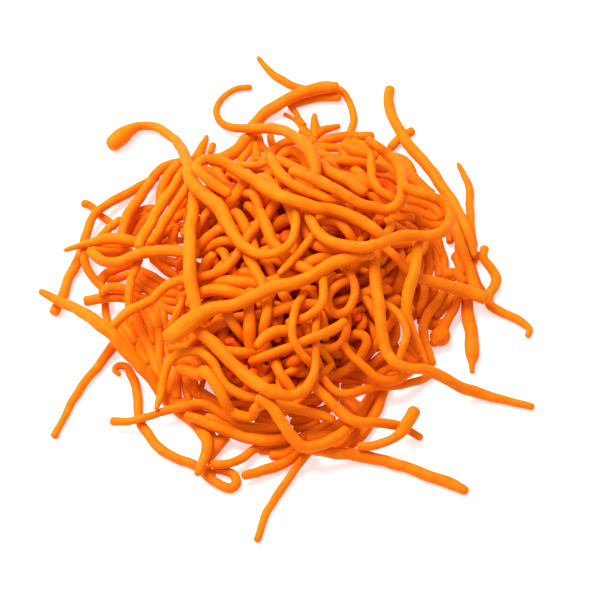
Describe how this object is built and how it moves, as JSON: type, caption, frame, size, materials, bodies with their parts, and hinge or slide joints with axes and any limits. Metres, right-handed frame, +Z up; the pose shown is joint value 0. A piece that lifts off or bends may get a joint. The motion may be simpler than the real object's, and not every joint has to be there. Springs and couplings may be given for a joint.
{
  "type": "cordyceps bunch",
  "caption": "Loose heap of long, thin, curly orange cordyceps fruiting bodies, tangled over a low pile, with loose strands spreading flat around it.",
  "frame": {"origin": "centre of the footprint's bounding box, on the surface the heap lies on", "axes": "+Z up, -Y towards the front of the heap, +X to its right seen from the front"},
  "size_m": [0.1478, 0.167, 0.0317],
  "materials": {
    "cordyceps_flesh": "satin",
    "inner_flesh": "satin"
  },
  "bodies": {
    "root": {"front_left_straggler": "cordyceps_flesh", "left_prop": "cordyceps_flesh", "left_knob_twig": "cordyceps_flesh", "left_arch": "cordyceps_flesh", "left_fork_twig": "cordyceps_flesh", "left_bulb_strand": "cordyceps_flesh", "fan_strand_a": "cordyceps_flesh", "left_pointed_strand": "cordyceps_flesh", "fan_strand_b": "cordyceps_flesh", "fan_strand_c": "cordyceps_flesh", "left_drop_twig": "cordyceps_flesh", "left_stub_strand": "cordyceps_flesh", "left_low_arch": "cordyceps_flesh", "left_short_upright": "cordyceps_flesh", "left_low_diagonal": "cordyceps_flesh", "left_crossing_strand": "cordyceps_flesh", "front_left_loop": "cordyceps_flesh", "front_left_branch": "cordyceps_flesh", "front_low_branch": "cordyceps_flesh", "front_left_diagonal": "cordyceps_flesh", "front_left_runner": "cordyceps_flesh", "front_sweep_strand": "cordyceps_flesh", "left_curl_strand": "cordyceps_flesh", "left_inner_snake": "cordyceps_flesh", "front_straggler": "cordyceps_flesh", "front_right_straggler": "cordyceps_flesh", "front_right_prop": "cordyceps_flesh", "front_hook_strand": "cordyceps_flesh", "front_right_tail": "cordyceps_flesh", "front_right_club": "cordyceps_flesh", "right_low_crescent": "cordyceps_flesh", "right_inner_crescent": "cordyceps_flesh", "middle_hook_strand": "cordyceps_flesh", "right_tip_strand": "cordyceps_flesh", "back_right_strand": "cordyceps_flesh", "right_knot_strand": "cordyceps_flesh", "right_hanging_club": "cordyceps_flesh", "right_button_strand": "cordyceps_flesh", "right_inner_strand": "cordyceps_flesh", "right_side_strand": "cordyceps_flesh", "right_fat_end_strand": "cordyceps_flesh", "right_tapered_strand": "cordyceps_flesh", "right_inner_curve": "cordyceps_flesh", "right_long_strand": "cordyceps_flesh", "back_tip_strand": "cordyceps_flesh", "back_right_drop": "cordyceps_flesh", "back_arch_under": "cordyceps_flesh", "back_arch": "cordyceps_flesh", "left_upright_strand": "cordyceps_flesh", "middle_club_strand": "cordyceps_flesh", "top_left_hook": "cordyceps_flesh", "upper_inner_strand": "cordyceps_flesh", "notched_strand": "cordyceps_flesh", "loop_inner_strand": "cordyceps_flesh", "back_curl_strand": "cordyceps_flesh", "top_right_hook": "cordyceps_flesh", "long_hairpin_strand": "cordyceps_flesh", "top_middle_loop": "cordyceps_flesh", "inner_strand_pile": "inner_flesh"}
  },
  "joints": []
}
